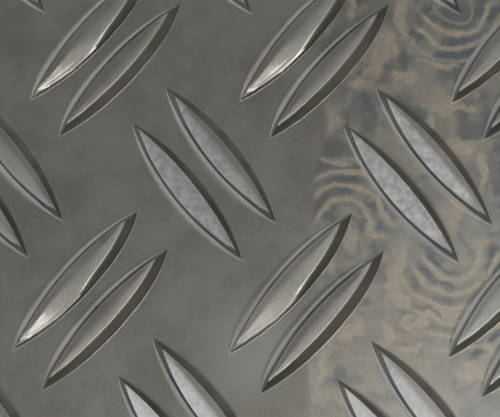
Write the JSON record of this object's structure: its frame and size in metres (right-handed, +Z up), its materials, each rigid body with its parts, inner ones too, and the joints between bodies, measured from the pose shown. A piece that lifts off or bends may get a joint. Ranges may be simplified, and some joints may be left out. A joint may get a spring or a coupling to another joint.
{
  "type": "aluminum checker plate",
  "caption": "Square cut blank of rolled aluminium checker plate: a flat sheet with pairs of raised, pointed tread bars that lean left and right by turns.",
  "frame": {"origin": "middle of the underside of the sheet", "axes": "+Z up, out of the tread side; X and Y along the sheared edges, and the bars stand 51 degrees from X"},
  "size_m": [0.2, 0.2, 0.005],
  "materials": {
    "mill_finish_aluminium": "rolled mill finish, satin, with water marks"
  },
  "bodies": {
    "root": {"checker_plate": "mill_finish_aluminium"}
  },
  "joints": []
}
